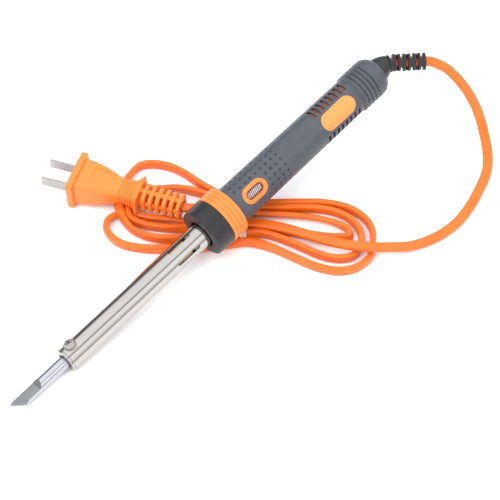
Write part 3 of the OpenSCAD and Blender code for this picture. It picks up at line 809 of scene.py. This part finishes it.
# ---------------------------------------------------------------- collar and ring
def make_collar(paints):
    front = COLLAR_R - 0.55
    profile = rounded(
        [
            (COLLAR_X + 2.6, BARREL_R + 0.02), (COLLAR_X + 2.6, BARREL_R + 0.95, 0.15),
            (COLLAR_X, BARREL_R + 0.95, 0.35), (COLLAR_X, front, 0.9),
            (RING_X - 0.45, COLLAR_R, 0.3), (RING_X - 0.03, COLLAR_R - 0.35, 0.1),
            (RING_X - 0.03, 12.1), (RING_X - 4.4, 12.1), (RING_X - 4.4, BARREL_R + 0.02),
        ]
    )
    collar = made("collar", lathe(profile, 160), IRON, 30)
    piece(painted(collar, paints["collar_black"]), "iron", "collar_black", "front_collar")


def make_ring(paints):
    pitch = (GRIP_X - RING_X) / 4
    corners = [(RING_X + 0.03, 12.6), (RING_X + 0.03, COLLAR_R - 0.4, 0.2), (RING_X + 0.5, COLLAR_R, 0.5)]
    for k in (1, 2, 3):
        x = RING_X + k * pitch
        corners += [(x - 0.35, COLLAR_R, 0.25), (x - 0.05, COLLAR_R - 0.45, 0.1), (x + 0.05, COLLAR_R - 0.45, 0.1)]
        corners += [(x + 0.35, COLLAR_R, 0.25)]
    corners += [(GRIP_X - 0.02, COLLAR_R, 1.5), (GRIP_X - 0.02, GRIP_FRONT_R - 1.5)]
    corners += [(GRIP_X - 1, GRIP_FRONT_R - 1.5)]
    corners += [(GRIP_X - 1, 12.6)]
    ring = made("grip_end_ring", lathe(rounded(corners), 160), IRON, 30)
    piece(painted(ring, paints["orange_plastic"]), "iron", "orange_plastic", "grip_ring")


# ---------------------------------------------------------------- grip
DIMPLE_R = 0.86
DIMPLE_DEPTH = 0.85
DIMPLE_COLUMNS = 9
DIMPLE_ROWS = 18
DIMPLE_FIRST_X = 4.9
DIMPLE_PITCH = 4.0
DIMPLE_ROW_ANGLE = 22.7
WINDOW_SIZE = (16.6, 10.1)
PAD_SIZE = (24.4, 10.6)


def grip_radius(x):
    """Outer radius of the smooth part of the grip."""
    t = (x - GRIP_X) / (RIDGE_X - GRIP_X)
    return GRIP_FRONT_R + (GRIP_REAR_R - GRIP_FRONT_R) * t


def dimple_depths(stations, angles):
    """Depth at each station and angle of the grid of round dimples, left out round the window."""
    depth = np.zeros((len(stations), len(angles)))
    for column in range(DIMPLE_COLUMNS):
        for row in range(DIMPLE_ROWS):
            x = GRIP_X + DIMPLE_FIRST_X + column * DIMPLE_PITCH
            angle = DIMPLE_ROW_ANGLE + row * 360 / DIMPLE_ROWS
            from_face = (angle - FACE_ANGLE + 180) % 360 - 180
            if abs(x - WINDOW_X) < WINDOW_SIZE[0] / 2 + 1.6 and abs(from_face) < 34:
                continue
            around = (angles - angle + 180) % 360 - 180
            arc = np.radians(around) * grip_radius(x)
            away = np.hypot((stations - x)[:, None], arc[None, :]) / DIMPLE_R
            depth = np.maximum(depth, DIMPLE_DEPTH * np.clip(1.25 * (1 - away**3), 0, 1))
    return depth


def make_grip(paints):
    fine_end = GRIP_X + DIMPLE_FIRST_X + (DIMPLE_COLUMNS - 1) * DIMPLE_PITCH + 1.5
    sides = 300
    angles = np.arange(sides) * 360 / sides
    front = [(GRIP_X, GRIP_FRONT_R - 1.2), (GRIP_X + 0.1, GRIP_FRONT_R - 0.5), (GRIP_X + 0.45, GRIP_FRONT_R - 0.1)]
    stations = np.concatenate([np.arange(GRIP_X + 1, fine_end, 0.24), np.arange(fine_end, RIDGE_X - 0.6, 3)])
    depth = dimple_depths(stations, angles)
    rear = []
    for k in range(RIDGE_COUNT):
        x = RIDGE_X + k * RIDGE_PITCH
        rear += [(x - 0.15, GROOVE_R - 0.35), (x + 0.05, GROOVE_R - 0.35)]
        for t in np.linspace(0.02, 0.98, 11):
            rear.append((x + 0.35 + 2.1 * t, GROOVE_R + (RIDGE_R - GROOVE_R) * math.sin(math.pi * t) ** 0.45))
    rear += [(CAP_X - 0.2, GROOVE_R - 0.35), (CAP_X, GROOVE_R - 0.35), (CAP_X, CORE_R + 0.02)]
    rings = [[(GRIP_X, CORE_R + 0.02)] * sides]
    rings += [[(x, r)] * sides for x, r in front]
    rings += [[(x, grip_radius(x) - d) for d in row] for x, row in zip(stations, depth)]
    rings += [[(RIDGE_X - 0.45, grip_radius(RIDGE_X) - 0.02)] * sides]
    rings += [[(x, r)] * sides for x, r in rear]
    turned_rings = [
        [(x, -r * math.sin(math.radians(a)), r * math.cos(math.radians(a))) for (x, r), a in zip(ring, angles)]
        for ring in rings
    ]
    grip = made("grip_cover", bridged(turned_rings, closed=True), IRON, 40)
    cut(grip, prism(stadium(*WINDOW_SIZE, steps=16), CORE_R - 3, 14), facing(WINDOW_X, FACE_ANGLE))
    cut(grip, prism(stadium(*PAD_SIZE, steps=16), CORE_R + 0.6, 14), facing(PAD_X, FACE_ANGLE))
    for side in (-1, 1):
        for k in range(8):
            cut(grip, vent_shape(1.55, 6.9), facing(VENT_X + k * 3.4, FACE_ANGLE + side * 56))
    shaded(grip, 40)
    piece(painted(grip, paints["grip_grey"]), "iron", "grip_grey", "grip_sleeve")


def vent_shape(width, arc):
    """A slot across the grip whose mouth is flared a little."""
    rings = []
    for y in np.linspace(-arc / 2, arc / 2, 7):
        top = math.sqrt(GRIP_REAR_R**2 - y**2)
        half, wide = width / 2, width / 2 + 0.28
        rings.append([(-half, y, 6.5), (-half, y, top - 0.2), (-wide, y, top + 0.45)])
        rings[-1] += [(wide, y, top + 0.45), (half, y, top - 0.2), (half, y, 6.5)]
    return bridged(rings)


def surface_loops(length, width, loops, radius, steps=16):
    """Rings of a stadium laid on a cylinder: each loop is (inset, height above the surface)."""
    rings = []
    for inset, height in loops:
        rings.append([(x, y, math.sqrt(radius**2 - y**2) + height) for x, y in stadium(length, width, inset, steps)])
    return rings


def make_bezel(paints):
    radius = grip_radius(WINDOW_X)
    outer = [(0.02, -2.2), (0.02, -0.15), (0.1, 0.06), (0.35, 0.16), (0.9, 0.2), (1.6, 0.17), (2.1, 0.06)]
    outer += [(2.3, -0.15), (2.36, -0.5), (2.36, -2.2)]
    shape = bridged(surface_loops(*WINDOW_SIZE, outer, radius), closed=True)
    bezel = made("window_bezel", shape, facing(WINDOW_X, FACE_ANGLE), 40)
    piece(painted(bezel, paints["orange_plastic"]), "iron", "orange_plastic", "indicator_bezel")


def make_lens(paints):
    length, width = 11.8, 5.34
    top = grip_radius(WINDOW_X) - 1.3
    place = facing(WINDOW_X, FACE_ANGLE)
    base = prism(stadium(length, width, steps=12), CORE_R + 0.25, top - 0.5)
    lens = made("window_lens", base, place, 40)
    # The lens body carries the dark reddish painted shade; the ribs over it are clear.
    piece(painted(lens, paints["lens_red_painted_shade"]), "iron", "lens_clear", "indicator_lens")
    bars = []
    for k in range(-4, 5):
        arch = [(0.34 * math.cos(a), top - 0.55 + 0.6 * math.sin(a)) for a in np.radians(np.arange(0, 181, 20))]
        half = 1.55 - 0.1 * abs(k) ** 1.2 / 2
        sides = (-1, -0.5, 0, 0.5, 1)
        bars.append(bridged([[(k * 1.12 + 0.4 * side + x, side * half, z) for x, z in arch] for side in sides]))
    ribs = made("window_lens_ribs", joined(bars), place, 40)
    piece(painted(ribs, paints["lens_clear"]), "iron", "lens_clear")


def make_pad(paints):
    radius = grip_radius(PAD_X)
    loops = [(0.03, -0.85), (0.03, -0.12), (0.12, 0.0)]
    loops += [(inset, 0.05) for inset in (0.3, 1.0, 2.2, 3.5, 4.6, 5.2)]
    pad = made("grip_pad", bridged(surface_loops(*PAD_SIZE, loops, radius)), facing(PAD_X, FACE_ANGLE), 40)
    piece(painted(pad, paints["pad_orange"]), "iron", "orange_plastic", "badge_pad")


def make_cap(paints):
    profile = rounded(
        [
            (CAP_X - 7.9, 6.0), (CAP_X - 7.9, 7.5, 0.3), (CAP_X + 0.02, 7.5), (CAP_X + 0.02, CAP_R - 0.75, 0.15),
            (CAP_X + 0.7, CAP_R + 0.05, 0.8), (REAR_X - 3.2, CAP_R - 0.1, 1.2), (REAR_X, CAP_REAR_R + 0.1, 0.9),
            (REAR_X, 7.05, 0.3), (REAR_X - 1.5, 7.05), (REAR_X - 1.5, 6.0),
        ],
        5,
    )
    cap = made("handle_end_cap", lathe(profile, 160), IRON, 30)
    piece(painted(cap, paints["grip_grey"]), "iron", "grip_grey", "rear_cap")


# ---------------------------------------------------------------- strain relief
RELIEF_RINGS = 8
RELIEF_RING_START = 9.5
RELIEF_RING_W = 1.55


def relief_ring(centre, width, inner, outer, sides=40):
    """A rounded ring across the relief's centreline."""
    rings = []
    half = width / 2
    corners = [(-half, inner), (-half, outer, 0.5), (half, outer, 0.5), (half, inner)]
    for x, r in rounded(corners, 3):
        turns = np.arange(sides) * 2 * math.pi / sides
        rings.append([(x, -r * math.sin(a), r * math.cos(a)) for a in turns])
    return moved(bridged(rings, closed=True), relief_local(centre))


def relief_local(distance):
    """The relief's frame in the iron's own millimetres."""
    return IRON.inverted() @ relief_frame(distance)


def relief_tube(outline, sides=48):
    """A turned outline of (distance, radius) bent along the relief's centreline."""
    rings = []
    for distance, r in outline:
        matrix = relief_local(distance)
        turns = np.arange(sides) * 2 * math.pi / sides
        rings.append([tuple(matrix @ Vector((0, -r * math.sin(a), r * math.cos(a)))) for a in turns])
    return bridged(rings, closed=True)


def make_relief(paints):
    pitch = (RELIEF_END - RELIEF_RING_W / 2 - RELIEF_RING_START) / (RELIEF_RINGS - 1)
    root = rounded(
        [(-1.4, 3.6), (-1.4, 6.95), (0.0, 6.95), (0.02, 7.6, 0.2), (4.5, 6.5, 2), (8.6, 5.1, 0.6), (8.6, 3.6)], 4
    )
    fine = []
    for (x0, r0), (x1, r1) in zip(root, root[1:] + root[:1]):
        parts = max(1, int(abs(x1 - x0) / 0.8))
        fine += [(x0 + (x1 - x0) * k / parts, r0 + (r1 - r0) * k / parts) for k in range(parts)]
    shapes = [relief_tube(fine)]
    for k in range(RELIEF_RINGS):
        shapes.append(relief_ring(RELIEF_RING_START + k * pitch, RELIEF_RING_W, 3.1, RELIEF_R))
    for k in range(RELIEF_RINGS):
        near = RELIEF_RING_START + (k - 1) * pitch if k else 7.0
        far = RELIEF_RING_START + k * pitch
        for side in (0, 180):
            angle = side + (90 if k % 2 else 0) + BRIDGE_TURN
            shapes.append(relief_bridge(near, far, angle))
    relief = made("cord_strain_relief", joined(shapes), IRON, 35)
    painted(relief, paints["relief_black"])
    return piece(relief, "iron", "relief_black", "strain_relief")


BRIDGE_TURN = 35


def relief_bridge(near, far, angle, arc=62, steps=6):
    """A strip that joins two rings on one side."""
    rings = []
    for distance in np.linspace(near, far, 4):
        matrix = relief_local(distance)
        ring = []
        for r, turns in ((4.7, np.linspace(-arc / 2, arc / 2, steps)), (3.2, np.linspace(arc / 2, -arc / 2, steps))):
            for turn in turns:
                a = math.radians(angle + turn)
                ring.append(tuple(matrix @ Vector((0, -r * math.sin(a), r * math.cos(a)))))
        rings.append(ring)
    return bridged(rings)


# ---------------------------------------------------------------- plug
def rounded_rectangle(half_w, half_h, corner, steps=7):
    points = []
    for sy, sz, start in ((1, 1, 0), (-1, 1, 90), (-1, -1, 180), (1, -1, 270)):
        for k in range(steps + 1):
            a = math.radians(start + 90 * k / steps)
            y, z = sy * (half_w - corner), sz * (half_h - corner)
            points.append((y + corner * math.cos(a), z + corner * math.sin(a)))
    return points


def lofted(sections, steps=7):
    """A solid through rounded rectangles given as (x, half width, half height, corner)."""
    return bridged([[(x, y, z) for y, z in rounded_rectangle(w, h, c, steps)] for x, w, h, c in sections])


def make_plug(paints):
    flange = [(0.0, 12.4, 8.9, 1.9), (0.15, 12.9, 9.4, 2.2), (0.6, 13.25, 9.75, 2.5), (1.9, 13.3, 9.8, 2.5)]
    flange += [(3.2, 13.25, 9.75, 2.5), (3.7, 12.9, 9.4, 2.2)]
    body = [(3.8, 11.2, 8.2, 2.6), (4.6, 11.0, 8.05, 2.8), (8, 10.8, 7.9, 3.0), (12, 10.4, 7.6, 3.2)]
    body += [(16, 9.6, 7.3, 3.3), (20, 8.5, 6.85, 3.4), (24, 7.1, 6.2, 3.5), (27.6, 6.3, 5.75, 3.6)]
    for k in range(5):
        x = 28.2 + k * 1.6
        swell = 0.12 * k
        body += [(x - 0.28, 6.2 + swell, 5.6 + swell, 3.6), (x, 5.75 + swell, 5.15 + swell, 3.4)]
        body += [(x + 0.28, 6.2 + swell, 5.6 + swell, 3.6)]
    body += [(35.6, 7.1, 6.1, 3.0), (36.6, 8.0, 6.6, 2.6), (37.6, 9.0, 6.95, 2.1), (38.0, 9.2, 7.05, 1.9)]
    body += [(38.7, 9.25, 7.05, 1.8), (38.95, 8.9, 6.75, 1.8)]
    shell = made("plug_shell", lofted(flange + body), PLUG, 38)
    panel = [(10.8, -4.6), (11.2, -5.4), (12.2, -5.8), (16, -5.5)]
    panel += [(20, -4.7), (22.6, -3.4), (24.3, -1.7), (24.7, 0)]
    panel += [(x, -y) for x, y in panel[-2::-1]]
    slope = Matrix.Translation((10.8, 0, 7.66)) @ Matrix.Rotation(math.radians(5.6), 4, "Y")
    slope = slope @ Matrix.Translation((-10.8, 0, 0))
    for turn in (0, 180):
        cut(shell, prism(panel, -0.32, 3), PLUG @ Matrix.Rotation(math.radians(turn), 4, "X") @ slope)
    softened(shell, 0.1, 38, 2)
    piece(painted(shell, paints["plug_orange"]), "iron", "plug_orange", "plug_body")
    return [shell, make_plug_relief(paints), *make_blades(paints)]


def make_plug_relief(paints):
    count = 6
    pitch = (PLUG_RELIEF_END - PLUG_RELIEF_X) / count
    shapes = []
    for k in range(count):
        x = PLUG_RELIEF_X + (k + 0.42) * pitch
        end = PLUG_RELIEF_X + (k + 1) * pitch - 0.05
        slim = 0.12 * k
        loop = [(x, 6.1 - slim), (x + 0.35, 6.5 - slim), (end - 0.35, 6.5 - slim), (end, 6.1 - slim)]
        outer = [[(a, y, z) for y, z in rounded_rectangle(r, r - 0.3, 3.2)] for a, r in loop]
        inner = [[(a, y, z) for y, z in rounded_rectangle(3.3, 2.7, 1.6)] for a in (end, x)]
        shapes.append(bridged(outer + inner, closed=True))
    for k in range(count):
        start = PLUG_RELIEF_X + k * pitch - 0.35
        end = PLUG_RELIEF_X + (k + 0.42) * pitch + 0.35
        for turn in (0, 90, 180, 270):
            bar = lofted([(start, 1.35, 0.85, 0.4), (end, 1.35, 0.85, 0.4)], 3)
            spin = Matrix.Rotation(math.radians(turn), 4, "X")
            shapes.append(moved(bar, spin @ Matrix.Translation((0, 0, 4.75 - 0.1 * k))))
    core = [(PLUG_RELIEF_X - 0.3, 0), (PLUG_RELIEF_X - 0.3, 4.1), (PLUG_RELIEF_X + 2, 4.1), (PLUG_RELIEF_X + 2, 0)]
    shapes.append(turned_solid(core, 32))
    relief = made("plug_strain_relief", joined(shapes), PLUG, 35)
    return piece(painted(relief, paints["plug_orange"]), "iron", "plug_orange", "plug_relief")


def make_blades(paints):
    blades = []
    for side in (-1, 1):
        outline = [(0.3, -3.15), (0.3, 3.15)]
        for corner_y in (1, -1):
            start = 90 if corner_y == 1 else 180
            for k in range(6):
                a = math.radians(start + 90 * k / 5)
                outline.append((-16.2 + math.cos(a), corner_y * 2.15 + math.sin(a)))
        shape = prism(outline, -0.74, 0.74)
        upright = Matrix.Translation((0, side * 6.35, 0)) @ Matrix.Rotation(math.radians(90), 4, "X")
        blade = made(f"plug_blade_{'left' if side > 0 else 'right'}", shape, PLUG @ upright)
        softened(blade, 0.3, 40, 3)
        piece(painted(blade, paints["blade_steel"]), "iron", "blade_steel")
        blades.append(blade)
    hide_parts("plug_blades")
    return blades


# ---------------------------------------------------------------- tie and inner parts
def make_tie(paints):
    """A clear strap round the strands."""
    low, high = (Vector(c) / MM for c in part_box("cord_tie"))
    centre = (low + high) / 2
    angle = math.radians(44)
    half_length, half_high = 18.6, 2.7
    path = []
    for y, z in rounded_rectangle(half_length, half_high, 2.6, 6):
        path.append((y * math.cos(angle), y * math.sin(angle), z))
    rings = []
    across = Vector((-math.sin(angle), math.cos(angle), 0))
    for point in path:
        inward = Vector((-point[0], -point[1], 0))
        inward = Vector((0, 0, -1 if point[2] > 0 else 1)) if abs(point[2]) > 2.6 else inward.normalized()
        base = centre + Vector(point)
        ring = [base + across * s * 1.7 + inward * t for s, t in ((-1, 0), (1, 0), (1, 0.28), (-1, 0.28))]
        rings.append([tuple(v) for v in ring])
    tie = made("cord_clear_tie", bridged(rings, closed=True), Matrix.Scale(MM, 4), 50)
    return piece(painted(tie, paints["tie_clear"]), "iron", "tie_clear", "cord_tie")


INNER_PAINTS = {
    "heater_tube": "dark_metal", "inner_mica": "mica", "heater_winding": "dark_metal", "outer_mica": "mica",
    "rear_insulator": "ceramic_painted_shade", "heater_leads": "fastener", "lead_sleeves": "glass_fibre",
    "barrel_flange": "fastener", "flange_screws": "fastener", "handle_core": "orange_plastic",
    "neon_lamp": "lamp_glass", "lamp_resistor": "resistor", "lamp_board": "board", "lamp_leads": "fastener",
    # The rear insulator gets the dark brown painted shade.
    "inner_cord": "cord_orange", "crimp_connectors": "connector_blue", "cord_clamp": "clamp_grey",
    "clamp_screws": "fastener",
}


def make_floor():
    mesh = bpy.data.meshes.new("floor")
    mesh.from_pydata([(-3, -3, 0), (3, -3, 0), (3, 3, 0), (-3, 3, 0)], [], [(0, 1, 2, 3)])
    floor = linked("floor", mesh)
    floor.location.z = -0.0001
    paper = bpy.data.materials.new("floor")
    paper.use_nodes = True
    paper.node_tree.nodes["Principled BSDF"].inputs["Base Color"].default_value = (0.93, 0.93, 0.935, 1)
    paper.node_tree.nodes["Principled BSDF"].inputs["Roughness"].default_value = 0.9
    mesh.materials.append(paper)


paints = make_materials()
flex, flex_line, flex_length = make_cord(paints["cord_orange"])
for node, paint in INNER_PAINTS.items():
    painted(frame["nodes"][node], paints[paint])
make_tip(paints)
make_end_ring(paints)
make_barrel(paints)
make_screw(paints)
make_collar(paints)
make_ring(paints)
make_grip(paints)
make_bezel(paints)
make_lens(paints)
make_pad(paints)
make_cap(paints)
relief = make_relief(paints)
plug_pieces = make_plug(paints)
tie = make_tie(paints)
piece(flex, "iron", "cord_orange", "cord", "cord_hank")
make_floor()
make_light()
